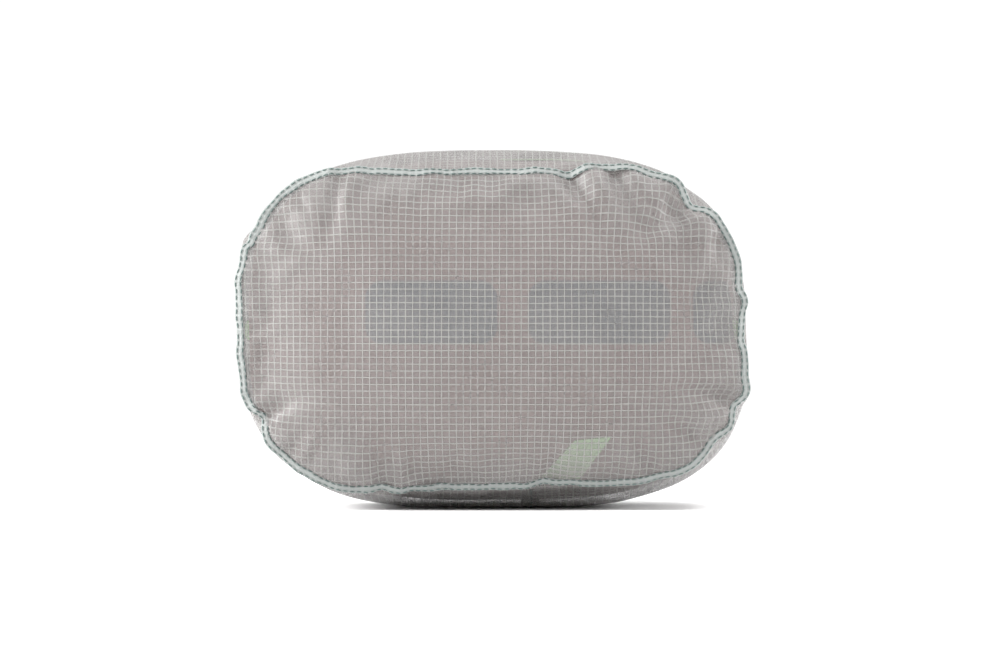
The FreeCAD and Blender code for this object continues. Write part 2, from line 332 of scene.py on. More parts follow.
# %% Seam and creases, listed
# Where the seam is drawn in or pushed out: direction in degrees from the right, metres outwards,
# and spread in degrees.
SEAM_PULLS = (
    (5, -0.0020, 9),
    (17, -0.0026, 6),
    (30, -0.0010, 7),
    (45.5, -0.0042, 3.2),
    (52, 0.0018, 3),
    (61, 0.0046, 9),
    (127, 0.0052, 12),
    (145.5, -0.0012, 2),
    (151, 0.0018, 4),
    (195, -0.0008, 20),
    (212, -0.0022, 5),
    (239, 0.0030, 9),
    (270, -0.0009, 9),
    (285, -0.0022, 9),
    (310, 0.0012, 5),
    (321, -0.0018, 3),
    (333, -0.0028, 3.2),
    (339, 0.0014, 4),
)
# Creases in the base panel: from and to, as x and height above the middle, then half width and depth,
# all in metres.
CREASES = (
    ((-0.060, 0.061), (-0.066, 0.030), 0.0034, 0.0026),
    ((-0.030, 0.062), (-0.028, 0.044), 0.0030, 0.0012),
    ((0.030, 0.062), (0.048, 0.030), 0.0030, 0.0040),
    ((0.038, 0.064), (0.050, 0.040), 0.0026, -0.0018),
    ((0.048, 0.062), (0.062, 0.034), 0.0030, 0.0036),
    ((0.056, 0.060), (0.070, 0.034), 0.0026, -0.0020),
    ((0.070, 0.050), (0.080, 0.026), 0.0030, 0.0034),
    ((0.082, 0.044), (0.084, 0.022), 0.0028, -0.0022),
    ((0.090, 0.036), (0.082, 0.010), 0.0032, 0.0026),
    ((0.099, 0.012), (0.080, 0.006), 0.0030, -0.0022),
    ((0.100, -0.004), (0.082, -0.008), 0.0028, 0.0018),
    ((0.092, -0.026), (0.070, -0.022), 0.0030, 0.0034),
    ((0.090, -0.034), (0.076, -0.034), 0.0026, -0.0024),
    ((0.080, -0.042), (0.068, -0.030), 0.0030, 0.0028),
    ((0.062, -0.054), (0.054, -0.036), 0.0034, 0.0024),
    ((0.020, -0.062), (0.024, -0.046), 0.0030, 0.0018),
    ((-0.018, -0.062), (-0.014, -0.048), 0.0030, 0.0012),
    ((-0.044, -0.062), (-0.042, -0.040), 0.0030, 0.0028),
    ((-0.036, -0.062), (-0.036, -0.046), 0.0026, -0.0018),
    ((-0.080, -0.048), (-0.068, -0.034), 0.0030, 0.0022),
    ((-0.094, -0.036), (-0.078, -0.028), 0.0030, 0.0034),
    ((-0.098, 0.036), (-0.082, 0.028), 0.0030, 0.0032),
    ((-0.099, 0.020), (-0.086, 0.016), 0.0028, -0.0014),
)


def seam_shift(way):
    """How far the seam is moved outwards in a direction from the axis."""
    total = 0.0
    for degrees, metres, spread in SEAM_PULLS:
        total += metres * bell(turn_between(way, math.radians(degrees)), math.radians(spread))
    return total


def crease_depth(x, up):
    """How deep the creases are at a place on the base panel."""
    total = 0.0
    place = Vector((x, up))
    for start, end, half_width, depth in CREASES:
        start, end = Vector(start), Vector(end)
        line = end - start
        share = min(max((place - start).dot(line) / line.length_squared, 0.0), 1.0)
        gap = (place - start - line * share).length
        total += depth * (1 - 0.8 * share) * bell(gap, half_width)
    return total


# %% Cut the cloth
CLOTH_CELL = 0.0026  # metres between the mesh's lines
RING_STRETCH = 1.55  # the wall's rings lie further apart, because its folds run lengthwise
CLOSING_WAY = math.atan2(-1.0, 0.13)  # the direction of the seam that closes the wall into a tube
SEAM_PULL_REACH = 0.022  # how far from the seam its pulls still move the cloth
GATHER_START = 0.112  # distance from the seam where the gathers begin
PLEATS, FINE_PLEATS = 21, 34
PLEAT_DEPTH = 0.0042
BULGE = 0.0028
BULGE_PLACE = 0.055
BULGE_WAY, BULGE_SPREAD = math.radians(326), math.radians(24)
RIPPLE_DEPTH, RIPPLE_SIZE, RIPPLE_REACH = 0.0011, 0.009, 0.020  # small waves beside the seam
WOBBLE_DEPTH, WOBBLE_SIZE = 0.0003, 0.02  # and faint ones everywhere


def fold_wave(way, share):
    """The gathers' irregular folds round the mouth, from -1 to 1. They drift a little towards the mouth."""
    wander = 1.3 * math.sin(2 * way + 0.7) + 0.8 * math.sin(5 * way + 2.1)
    coarse = math.cos(PLEATS * way + wander)
    fine = math.cos(FINE_PLEATS * way - 1.7 * wander + 2 * share)
    return 0.62 * coarse + 0.38 * fine


def gather(way, along):
    """How far the gathers push the cloth outwards on the shoulder. They deepen towards the mouth."""
    share = min(max((along - GATHER_START) / (wall_length - GATHER_START), 0.0), 1.0)
    deepened = math.sin(math.pi * min(share / 0.78, 1.0) / 2)
    drawn_in = 1 - 0.55 * bell(1 - share, 0.12)
    return PLEAT_DEPTH * deepened * drawn_in * fold_wave(way, share)


def outwards(way):
    """The direction away from the bag's axis."""
    return Vector((math.cos(way), 0, math.sin(way)))


def low_bulge(way):
    """The pillow's lower right corner pushes the wall out a little."""
    return BULGE * bell(turn_between(way, BULGE_WAY), BULGE_SPREAD)


def arc_out(level, reach):
    """How much cloth the domed panel takes from its crown to a level, where its rim is at reach."""
    steps = 16
    total = 0.0
    for step in range(steps):
        middle = level * (step + 0.5) / steps
        slope = (SEAM_Y - FRONT_Y) * CROWN_POWER * middle ** (CROWN_POWER - 1)
        total += math.hypot(reach, slope) * level / steps
    return total


def cut_sack(cell):
    """The bag's cloth as a bmesh that is open at the mouth. Its layers hold each vertex's direction
    from the axis, its distance from the seam along the cloth, and its place round the wall."""
    sack = bmesh.new()
    columns = 2 * round(PANEL_HALF_X / cell)
    rows = 2 * round(PANEL_HALF_Z / cell)
    bmesh.ops.create_grid(sack, x_segments=columns, y_segments=rows, size=1)
    way, along, around = (sack.verts.layers.float.new(name) for name in ("way", "along", "around"))
    flat = sack.loops.layers.uv.new("cloth")
    flat_places = {}
    for vert in sack.verts:
        across, up = vert.co.x, vert.co.y
        level = max(abs(across), abs(up), 1e-6)
        vert[way] = math.atan2(up, across)
        vert.co = panel_point(across, up)
        offset = Vector((vert.co.x, vert.co.z - MID_Z))
        reach = offset.length / level
        length = arc_out(level, reach)
        vert[along] = length - arc_out(1.0, reach) if level < 1 - 1e-6 else 0.0
        flat_places[vert] = offset.normalized() * length
        vert.co += outwards(vert[way]) * (seam_shift(vert[way]) * bell(vert[along], SEAM_PULL_REACH))
    for face in sack.faces:
        for loop in face.loops:
            loop[flat].uv = flat_places[loop.vert]
    rim = [edge for edge in sack.edges if edge.is_boundary]
    rim_verts = sorted(
        {vert for edge in rim for vert in edge.verts},
        key=lambda vert: (vert[way] - CLOSING_WAY) % (2 * math.pi),
    )
    total, before = 0.0, None
    for vert in rim_verts:
        place = section_point(WALL_HALF_X, WALL_HALF_Z, BODY_POWER, vert[way], 0)
        total += (place - before).length if before else 0.0
        vert[around], before = total, place
    start = section_point(WALL_HALF_X, WALL_HALF_Z, BODY_POWER, rim_verts[0][way], 0)
    girth = total + (before - start).length
    panel_faces = set(sack.faces)
    for travelled, (y, half_x, half_z, power) in even_sections(cell * RING_STRETCH)[1:]:
        grown = bmesh.ops.extrude_edge_only(sack, edges=rim)["geom"]
        rim = [item for item in grown if isinstance(item, bmesh.types.BMEdge)]
        for vert in {vert for edge in rim for vert in edge.verts}:
            vert[along] = travelled
            vert.co = section_point(half_x, half_z, power, vert[way], y)
            bulged = low_bulge(vert[way]) * bell(travelled - BULGE_PLACE, BULGE_PLACE)
            vert.co += outwards(vert[way]) * (seam_shift(vert[way]) * bell(travelled, SEAM_PULL_REACH))
            vert.co += outwards(vert[way]) * bulged
    for face in sack.faces:
        if face in panel_faces:
            continue
        face.material_index = 1
        places = [loop.vert[around] for loop in face.loops]
        for loop, place in zip(face.loops, places):
            wrapped = place + girth if max(places) - place > girth / 2 else place
            loop[flat].uv = (wrapped, loop.vert[along])
    bmesh.ops.recalc_face_normals(sack, faces=sack.faces)
    return sack, way, along


sack, way_layer, along_layer = cut_sack(CLOTH_CELL)
sack.normal_update()
for vert in sack.verts:
    along = vert[along_layer]
    push = gather(vert[way_layer], along)
    if along <= 0:
        push -= crease_depth(vert.co.x, vert.co.z - MID_Z)
    ripple = noise.noise(Vector((vert.co.x, 0.35 * vert.co.y, vert.co.z)) / RIPPLE_SIZE)
    wobble = noise.noise(vert.co / WOBBLE_SIZE)
    push += RIPPLE_DEPTH * ripple * bell(along, RIPPLE_REACH) + WOBBLE_DEPTH * wobble
    vert.co += vert.normal * push
cloth_start = bpy.data.meshes.new("sack_cloth")
sack.to_mesh(cloth_start)
print("Cloth vertices:", len(cloth_start.vertices))

# %% [markdown]
# ## Letting the cloth settle
# Real creases come from cloth that is a little too long for where it has to go. So the cloth solver
# is given cloth that grows a few percent beside the seam, where the stitches then draw it together,
# and keeps its size in the middle of the panel, which the pillow stretches smooth. The solver has
# no pillow to touch: air pressure pushes out in its place, and afterwards a limit on how far each
# vertex may sink stands for it. The seam and the gathers are held, and the rest is only guided.

# %% Settle the cloth
SETTLE_FRAMES = 16
MOST_MOVE = 0.005
SEAM_SHRINK = 0.05
CLOTH_GROWTH = -0.035  # a negative shrink makes the cloth longer
CREASED_REACH = 0.020  # how far from the seam the cloth is too long
LEAST_SINK, MOST_SINK = 0.0008, 0.0034  # far from the seam, and beside it
SINK_REACH = 0.016
HELD_FROM, HELD_OVER = 0.09, 0.05  # the gathers are held more and more from here, over this length


def settle(mesh, holds, shrinks, sinks):
    """Runs the cloth solver on a mesh and moves its vertices to the result, by MOST_MOVE at most. The
    value in sinks limits how far each vertex may move inwards."""
    cloth = bpy.data.objects.new("settling", mesh)
    bpy.context.collection.objects.link(cloth)
    hold_group = cloth.vertex_groups.new(name="hold")
    shrink_group = cloth.vertex_groups.new(name="shrink")
    for index, (hold, shrink) in enumerate(zip(holds, shrinks)):
        hold_group.add([index], hold, "REPLACE")
        shrink_group.add([index], (shrink - CLOTH_GROWTH) / (SEAM_SHRINK - CLOTH_GROWTH), "REPLACE")
    solver = cloth.modifiers.new("cloth", "CLOTH")
    values = solver.settings
    values.quality = 5
    values.mass = 0.01
    values.tension_stiffness = 15
    values.compression_stiffness = 15
    values.shear_stiffness = 5
    values.bending_stiffness = 0.02
    values.use_pressure = True
    values.uniform_pressure_force = 0.25
    values.vertex_group_mass = "hold"
    values.vertex_group_shrink = "shrink"
    values.shrink_min = CLOTH_GROWTH
    values.shrink_max = SEAM_SHRINK
    values.effector_weights.gravity = 0
    solver.collision_settings.use_collision = False
    for number in range(1, SETTLE_FRAMES + 1):
        bpy.context.scene.frame_set(number)
    view = bpy.context.evaluated_depsgraph_get()
    result = cloth.evaluated_get(view).to_mesh()
    moves = []
    outward = [vert.normal.copy() for vert in mesh.vertices]
    for vert, settled, normal, sink in zip(mesh.vertices, result.vertices, outward, sinks):
        move = settled.co - vert.co
        move -= normal * min(move.dot(normal) + sink, 0.0)
        moves.append(move.length)
        vert.co += move * min(1.0, MOST_MOVE / max(move.length, 1e-9))
    bpy.data.objects.remove(cloth)
    bpy.context.scene.frame_set(1)
    print("Furthest move in mm:", round(1000 * max(moves), 1))


holds, shrinks, sinks = [], [], []
for vert in sack.verts:
    along = vert[along_layer]
    held = 1.0 if abs(along) < 1e-6 else 0.02 + min(max((along - HELD_FROM) / HELD_OVER, 0.0), 0.98)
    beside = bell(along - math.copysign(0.011, along), 0.009)
    stretch = 0.015 if along > CREASED_REACH else 0.0
    holds.append(held)
    sinks.append(LEAST_SINK + (MOST_SINK - LEAST_SINK) * bell(along, SINK_REACH))
    shrinks.append(SEAM_SHRINK * bell(along, 0.004) + CLOTH_GROWTH * beside + stretch * (1 - beside))
settle(cloth_start, holds, shrinks, sinks)
for vert, placed in zip(sack.verts, cloth_start.vertices):
    vert.co = placed.co

# %% [markdown]
# ## Lying on the floor
# The bag lies on its side, so its underside is flat where it meets the floor.

# %% Flatten the underside
FLOOR_GAP = 0.0004
for vert in sack.verts:
    vert.co.z = max(vert.co.z, FLOOR_GAP)
sack.normal_update()

# %% [markdown]
# ## Ripstop cloth
# Ripstop is thin nylon with a thicker thread every few millimetres, which shows as a pale square
# grid. The squares let much of what is behind them show through, and the grid lets less. Both
# follow the cloth's own flat pattern, kept in a UV map in metres, so the grid bends with every
# crease. Cloth that is doubled at a seam lets hardly any light by.

# %% Ripstop
GRID_PITCH_X = 0.00284
GRID_PITCH_Y = 0.00268
GRID_THREAD = 0.00052  # metres
WEAVE_PITCH = 0.00042
LIFTED_COVER = 0.20  # near the seam the cloth stands off the pillow, and hides more of it


def ripstop(name, square, thread, square_cover, thread_cover, finish=(0.42, 0.16, 0.0045)):
    """Ripstop: the colours of its squares and grid, how much of what lies behind each one hides, and
    its finish, which is its roughness and the strength and size of its crinkles."""
    roughness, crinkled, crinkle_size = finish
    cloth = Shader(name)
    flat_x, flat_y, _ = cloth.split(cloth.uv())
    lines = []
    for place, pitch in ((flat_x, GRID_PITCH_X), (flat_y, GRID_PITCH_Y)):
        off_line = (place / pitch).math("PINGPONG", 0.5) * pitch
        lines.append(cloth.ramp(off_line, 0.3 * GRID_THREAD, 0.72 * GRID_THREAD, 1.0, 0.0))
    grid = lines[0].math("MAXIMUM", lines[1])
    uneven = cloth.noise(cloth.place(), 0.018, 3.0)
    shade = cloth.ramp(uneven, 0.3, 0.7, 0.0, 1.0)
    dimmer = tuple(0.88 * part for part in square[:3]) + (1.0,)
    colour = cloth.mix(grid, cloth.mix(shade, dimmer, square), thread)
    turns = math.tau / WEAVE_PITCH
    weave = (flat_x * turns).math("SINE") * (flat_y * turns).math("SINE")
    crinkle = cloth.noise(cloth.place(), crinkle_size, 4.0, 0.6)
    relief = weave * 0.010 + grid * 0.05 + crinkle * crinkled
    x, _, z = cloth.split(cloth.place())
    across, up = x / PANEL_HALF_X, (z - MID_Z) / PANEL_HALF_Z
    from_middle = across * across + up * up
    lifted = cloth.ramp(from_middle, 0.45, 1.05, 0.0, 1.0) * cloth.ramp(uneven, 0.35, 0.6, 0.3, 1.0)
    cover = grid * (thread_cover - square_cover) + square_cover + (shade - 0.5) * 0.05
    cover = cover + lifted * (1 - grid) * LIFTED_COVER
    cloth.set(
        Base_Color=colour,
        Roughness=cloth.ramp(uneven, 0.2, 0.8, roughness - 0.06, roughness + 0.1),
        Alpha=cover,
        Normal=cloth.bump(relief, 0.001, 0.7),
        Specular_IOR_Level=0.4,
    )
    return cloth.material


sack_cloth = ripstop("sack_ripstop", tone(128, 124, 123), tone(138, 138, 135), 0.32, 0.57)
seam_cloth = ripstop(
    "seam_ripstop", tone(130, 134, 132), tone(135, 139, 137), 0.90, 0.95, (0.5, 0.8, 0.0016)
)

# %% [markdown]
# ## Finishing a piece
# Every piece below ends the same way: its bmesh becomes an object at the origin, its faces are
# smoothed, it gets its material, it may be subdivided and thickened, it is attached to the root
# body, and the CAD nodes it stands for are hidden.

# %% Finish a piece
def finish_piece(name, mesh, material, nodes=(), wall=0.0, smooth=1):
    """Makes a bmesh a finished piece. wall thickens a sheet, and smooth is how often it is subdivided."""
    data = bpy.data.meshes.new(name)
    mesh.to_mesh(data)
    for face in data.polygons:
        face.use_smooth = True
        face.material_index = 0
    data.materials.append(material)
    piece = bpy.data.objects.new(name, data)
    bpy.context.collection.objects.link(piece)
    if smooth:
        rounding = piece.modifiers.new("rounding", "SUBSURF")
        rounding.levels = rounding.render_levels = smooth
    if wall:
        thickness = piece.modifiers.new("thickness", "SOLIDIFY")
        thickness.thickness = wall
        thickness.offset = -1
    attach(piece, "root")
    if nodes:
        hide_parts(*nodes)
    print(name, "faces:", len(data.polygons))
    return piece


# %% [markdown]
# ## Base panel and side wall
# The settled cloth is copied once for each piece, and what belongs to the other piece is deleted
# from the copy.

# %% Split the cloth
CLOTH_WALL = 0.00025


def part_of_sack(number):
    """A copy of the settled cloth with only the faces of one piece."""
    part = sack.copy()
    other = [face for face in part.faces if face.material_index != number]
    bmesh.ops.delete(part, geom=other, context="FACES")
    return part


panel_mesh, wall_mesh = part_of_sack(0), part_of_sack(1)
base_panel = finish_piece(
    "base_panel_cloth", panel_mesh, sack_cloth, ["base_panel"], CLOTH_WALL
)
side_wall = finish_piece(
    "side_wall_cloth", wall_mesh, sack_cloth, ["side_wall"], CLOTH_WALL
)

# %% [markdown]
# ## Base seam
# Where the panel meets the wall, both layers are folded together into a narrow band, which stands a
# little proud and is puckered by its thread. It is swept round the bag: a short profile is placed
# at each step of the seam's line and the profiles are bridged. The line and its slopes are read
# from the settled cloth, so the band follows each pucker.

# %% The seam's line
def resampled(points, spacing):
    """Points at even steps along a closed line of points."""
    closed = points + points[:1]
    lengths = [0.0]
    for a, b in zip(closed, closed[1:]):
        lengths.append(lengths[-1] + (b - a).length)
    count = round(lengths[-1] / spacing)
    result, index = [], 0
    for step in range(count):
        target = lengths[-1] * step / count
        while lengths[index + 1] < target:
            index += 1
        share = (target - lengths[index]) / (lengths[index + 1] - lengths[index])
        result.append(closed[index].lerp(closed[index + 1], share))
    return result


def evened(values, reach):
    """Each vector of a closed line averaged with its neighbours."""
    count, width = len(values), 2 * reach + 1
    result = []
    for step in range(count):
        near = [values[(step + shift) % count] for shift in range(-reach, reach + 1)]
        result.append(sum(near, Vector()) / width)
    return result


BAND_STEP = 0.0009
rim = sorted((v for v in sack.verts if v[along_layer] == 0.0), key=lambda v: v[way_layer])
rim_line, into_panel = [], []
for vert in rim:
    others = [edge.other_vert(vert) for edge in vert.link_edges]
    inside = [other.co for other in others if other[along_layer] < 0]
    crown = Vector((0, FRONT_Y, MID_Z))
    aim = sum(inside, Vector()) / len(inside) if inside else vert.co.lerp(crown, 0.03)
    rim_line.append(vert.co.copy())
    into_panel.append((aim - vert.co).normalized())
seam_line = evened(resampled(rim_line, BAND_STEP), 1)
seam_count = len(seam_line)
seam_inwards = []
for step in range(seam_count):
    seam_inwards.append(into_panel[round(step * len(into_panel) / seam_count) % len(into_panel)])
seam_inwards = evened(seam_inwards, 6)
print("Seam length in mm:", round(1000 * BAND_STEP * seam_count))

# %% [markdown]
# A frame is kept for each step of the line: along the seam, across it towards the panel, and up off
# the cloth. The profile and the stitches are both placed in it. `lay_band` draws the first profile,
# extrudes it step by step along the line, and bridges the last one to the first where the line is
# closed.

# %% Sweep a profile along a line
def frames_along(line, across, closed=True):
    """Place, along, across and up at each step of a line."""
    frames = []
    for step, place in enumerate(line):
        after = line[(step + 1) % len(line)] if closed else line[min(step + 1, len(line) - 1)]
        before = line[step - 1] if closed else line[max(step - 1, 0)]
        along = (after - before).normalized()
        side = (across[step] - along * across[step].dot(along)).normalized()
        frames.append((place, along, side, side.cross(along)))
    return frames


def lay_band(profile_at, steps, spacing, closed=True):
    """A band through the closed profiles that profile_at gives for each step, with a flat pattern."""
    band = bmesh.new()
    flat = band.loops.layers.uv.new("cloth")
    order = band.verts.layers.int.new("order")
    run = band.verts.layers.float.new("run")
    first = [band.verts.new(place) for place in profile_at(0)]
    for number, vert in enumerate(first):
        vert[order] = number
    over = [0.0]
    for a, b in zip(first, first[1:]):
        over.append(over[-1] + (b.co - a.co).length)
    ring = start = [band.edges.new((first[k - 1], first[k])) for k in range(len(first))]
    for step in range(1, steps):
        grown = bmesh.ops.extrude_edge_only(band, edges=ring)["geom"]
        ring = [item for item in grown if isinstance(item, bmesh.types.BMEdge)]
        places = profile_at(step)
        for vert in {vert for edge in ring for vert in edge.verts}:
            vert.co = places[vert[order]]
            vert[run] = step * spacing
    if closed:
        bmesh.ops.bridge_loops(band, edges=ring + start)
    else:
        bmesh.ops.holes_fill(band, edges=ring + start, sides=0)
    bmesh.ops.recalc_face_normals(band, faces=band.faces)
    length, round_it = steps * spacing, over[-1]
    for face in band.faces:
        runs = [loop.vert[run] for loop in face.loops]
        overs = [over[loop.vert[order]] for loop in face.loops]
        for loop, a, b in zip(face.loops, runs, overs):
            wrapped = a + length if max(runs) - a > length / 2 else a
            loop[flat].uv = (wrapped, b + round_it if max(overs) - b > round_it / 2 else b)
    return band


seam_frames = frames_along(seam_line, seam_inwards)
if seam_frames[0][3].y > 0:
    seam_frames = [(place, along, side, -up) for place, along, side, up in seam_frames]

# %% Seam band
BAND_PROFILE = (
    (-0.0007, -0.0004),
    (-0.0007, 0.0002),
    (-0.0001, 0.0004),
    (0.0006, 0.0003),
    (0.0013, 0.00045),
    (0.0021, 0.0004),
    (0.0027, 0.0001),
    (0.0026, -0.0004),
)


def on_band(step, across, height):
    """A place on the seam band, with its puckers."""
    place, along, side, up = seam_frames[step % seam_count]
    sway = 0.0004 * noise.noise(place / 0.005)
    breadth = 1 + 0.3 * noise.noise(place / 0.009 + Vector((7, 0, 0)))
    pucker = 0.0003 * noise.noise(place / 0.0026)
    return place + side * (across * breadth + sway) + up * (height + pucker)


band_mesh = lay_band(lambda step: [on_band(step, *spot) for spot in BAND_PROFILE], seam_count, BAND_STEP)
finish_piece("base_seam_band", band_mesh, seam_cloth, ["base_seam_allowance"])

# %% [markdown]
# ## Stitches
# The seam is sewn with two rows of thick dark thread. Each stitch is a small long bead that dips
# into the cloth at both ends. There are hundreds, so each has only a few dozen faces.

# %% Thread
STEPS_A_STITCH = 3
STITCH_LENGTH = 0.0021
THREAD_RADIUS = 0.00026


def spun(name, dark, light):
    """Thread whose colour varies between a dark and a light tone."""
    shader = Shader(name)
    twist = shader.noise(shader.place(), 0.0006, 2.0)
    return shader.set(
        Base_Color=shader.mix(twist, dark, light),
        Roughness=0.75,
        Normal=shader.bump(twist, 0.0002, 0.6),
    )


thread = spun("sack_thread", tone(44, 58, 56), tone(78, 95, 91))
pale_thread = spun("sack_thread_pale", tone(66, 82, 79), tone(100, 116, 112))


def sew(name, spots, material, nodes):
    """A row of stitches, each in its own frame."""
    row = bmesh.new()
    size = Matrix.Diagonal((STITCH_LENGTH / 2, THREAD_RADIUS, THREAD_RADIUS, 1))
    for place, along, side, up in spots:
        turn = Matrix((along, side, up)).transposed().to_4x4()
        lay = Matrix.Translation(place) @ turn @ size
        bmesh.ops.create_uvsphere(row, u_segments=8, v_segments=5, radius=1, matrix=lay)
    bmesh.ops.recalc_face_normals(row, faces=row.faces)
    finish_piece(name, row, material, nodes, smooth=0)


def seam_row(across, height):
    """Where a row's stitches lie on the seam band."""
    spots = []
    for number in range(seam_count // STEPS_A_STITCH):
        step = STEPS_A_STITCH * number
        _, along, side, up = seam_frames[step]
        tilt = 0.12 * noise.noise(Vector((number * 0.9, across * 1000, 0)))
        spots.append((on_band(step, across, height), (along + side * tilt).normalized(), side, up))
    return spots


PANEL_ROW, WALL_ROW, ROW_HEIGHT = 0.0024, 0.0001, 0.0005
sew("seam_stitches_panel", seam_row(PANEL_ROW, ROW_HEIGHT), thread, ["base_seam_thread_front"])
sew("seam_stitches_wall", seam_row(WALL_ROW, ROW_HEIGHT), pale_thread, ["base_seam_thread_back"])

# %% [markdown]
# ## The seam that closes the wall
# The wall is a strip of cloth that is sewn into a tube. Its seam runs along the underside and shows
# from the outside only as a darker band, because its folded layers lie inside. It follows one
# column of the settled cloth.

# %% Closing seam
CLOSING_PROFILE = (
    (-0.0040, -0.0008),
    (0.0, -0.0007),
    (0.0040, -0.0008),
    (0.0040, -0.0013),
    (0.0, -0.0015),
    (-0.0040, -0.0013),
)
CLOSING_START, CLOSING_END = 0.0035, 0.135
CLOSING_ROW_OUT = 0.0001
CLOSING_INNER_ROW = (0.0026, -0.0016)  # beside the line, and below the cloth
closing_rim = min(rim, key=lambda vert: (vert[way_layer] - CLOSING_WAY) % (2 * math.pi))
closing_column = [vert for vert in sack.verts if vert[way_layer] == closing_rim[way_layer]]
closing_column = [vert for vert in closing_column if CLOSING_START < vert[along_layer] < CLOSING_END]
closing_column.sort(key=lambda vert: vert[along_layer])
closing_line = [vert.co.copy() for vert in closing_column]
closing_across = [Vector((1, 0, 0))] * len(closing_line)
closing_frames = frames_along(closing_line, closing_across, closed=False)
closing_frames = [
    (place, along, side, -up if up.z > 0 else up) for place, along, side, up in closing_frames
]


def on_closing(step, across, height):
    place, along, side, up = closing_frames[step]
    return place + side * across + up * height


closing_mesh = lay_band(
    lambda step: [on_closing(step, *spot) for spot in CLOSING_PROFILE],
    len(closing_line),
    CLOTH_CELL * RING_STRETCH,
    closed=False,
)
finish_piece(
    "wall_closing_seam", closing_mesh, seam_cloth, ["wall_seam_allowance"]
)
closing_spots = []
for step, (_, along, side, up) in enumerate(closing_frames):
    closing_spots.append((on_closing(step, 0.0, CLOSING_ROW_OUT), along, side, up))
    closing_spots.append((on_closing(step, *CLOSING_INNER_ROW), along, side, up))
sew("wall_closing_stitches", closing_spots, thread, ["wall_seam_thread"])

# %% [markdown]
# ## Gathered mouth
# At the far end the wall ends in a hem, a folded channel for a drawcord. Pulled shut, the hem
# becomes a short ruffled collar. Its folds carry on from the wall's gathers, and it lies smooth
# only under the metal eyelet on its top.

# %% Hem
HEM_STEPS = 420
HEM_FOLD = 0.0013
HEM_RADIUS = 0.016
HEM_ROW = (0.0022, 0.01425)  # the stitches: past the neck, and from the axis
EYELET_RISE = 0.0157 - 0.0146  # how much higher the hem stands under the eyelet
HEM_PROFILE = (
    (-0.0020, 0.0128),
    (0.0010, 0.0138),
    (0.0060, 0.0146),
    (0.0105, 0.0149),
    (0.0124, 0.0145),
    (0.0130, 0.0132),
    (0.0124, 0.0118),
    (0.0100, 0.0106),
    (0.0050, 0.0102),
    (-0.0010, 0.0106),
)
EYELET_FLAT = 0.50  # radians of the hem that lie smooth on each side of the eyelet


def on_hem(turn, deep, radius):
    """A place on the hem: turn from 0 to 1 round it, how far past the neck, and how far from the axis."""
    way = math.tau * turn
    smooth = bell(turn_between(way, math.pi / 2), EYELET_FLAT)
    folds = fold_wave(way, 1.0 + 0.1 * deep / 0.013) * HEM_FOLD * (1 - smooth)
    flare = 1 + 0.05 * noise.noise(Vector((2 * math.cos(way), 2 * math.sin(way), deep / 0.01)))
    out = radius * flare + folds + EYELET_RISE * smooth * (radius > 0.013)
    ruffle = 0.0007 * noise.noise(Vector((6 * math.cos(way), 6 * math.sin(way), 3.0))) * (deep > 0.01)
    return Vector((0, NECK_Y + deep + ruffle, MID_Z)) + outwards(way) * out


hem_spacing = math.tau * HEM_RADIUS / HEM_STEPS
hem_mesh = lay_band(
    lambda step: [on_hem(step / HEM_STEPS, *spot) for spot in HEM_PROFILE], HEM_STEPS, hem_spacing
)
finish_piece("mouth_hem_cloth", hem_mesh, seam_cloth, ["mouth_hem"])

HEM_STITCHES = 38
hem_spots = []
for number in range(HEM_STITCHES):
    turn = number / HEM_STITCHES
    place, after = on_hem(turn, *HEM_ROW), on_hem(turn + 0.002, *HEM_ROW)
    up = outwards(math.tau * turn)
    along = (after - place).normalized()
    side = up.cross(along).normalized()
    hem_spots.append((place, along, side, along.cross(side)))
sew("mouth_hem_stitches", hem_spots, thread, ["mouth_hem_thread"])

# %% [markdown]
# ## Eyelet
# The eyelet and its washer keep their CAD shapes, which are right, and get a satin grey paint that
# is worn bright in scattered patches. The patch of doubled cloth under them is new: a rounded square
# with a hole, bridged from two loops.

# %% Eyelet patch
eyelet_low, eyelet_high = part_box("cord_eyelet")
EYELET_Y = (eyelet_low.y + eyelet_high.y) / 2
PATCH_TOP = eyelet_high.z - 0.0005
PATCH_HALF_X, PATCH_HALF_Y = 0.0055, 0.0044
PATCH_FLAT, PATCH_SLOPE = 0.0042, 0.45  # level to here, then falling away
PATCH_POWER = 7  # a boxy superellipse
PATCH_HOLE = 0.0033
patch_mesh = bmesh.new()
patch_flat = patch_mesh.loops.layers.uv.new("cloth")
bmesh.ops.create_circle(patch_mesh, segments=40, radius=PATCH_HOLE)
outline = bmesh.ops.create_circle(patch_mesh, segments=40, radius=1)["verts"]
for vert in outline:
    way = math.atan2(vert.co.y, vert.co.x)
    corner = abs(math.cos(way)) ** PATCH_POWER + abs(math.sin(way)) ** PATCH_POWER
    corner **= -1 / PATCH_POWER
    vert.co.x = PATCH_HALF_X * math.cos(way) * corner
    vert.co.y = PATCH_HALF_Y * math.sin(way) * corner
bmesh.ops.bridge_loops(patch_mesh, edges=patch_mesh.edges[:])
bmesh.ops.subdivide_edges(patch_mesh, edges=[e for e in patch_mesh.edges if not e.is_boundary], cuts=2)
for face in patch_mesh.faces:
    for loop in face.loops:
        loop[patch_flat].uv = loop.vert.co.xy
for vert in patch_mesh.verts:
    vert.co.z = PATCH_TOP - PATCH_SLOPE * max(abs(vert.co.x) - PATCH_FLAT, 0.0)
    vert.co.y += EYELET_Y
bmesh.ops.recalc_face_normals(patch_mesh, faces=patch_mesh.faces)
if sum(face.normal.z for face in patch_mesh.faces) < 0:
    bmesh.ops.reverse_faces(patch_mesh, faces=patch_mesh.faces)
PATCH_WALL = 0.0008
finish_piece(
    "eyelet_patch_cloth", patch_mesh, seam_cloth, ["eyelet_patch"], PATCH_WALL
)

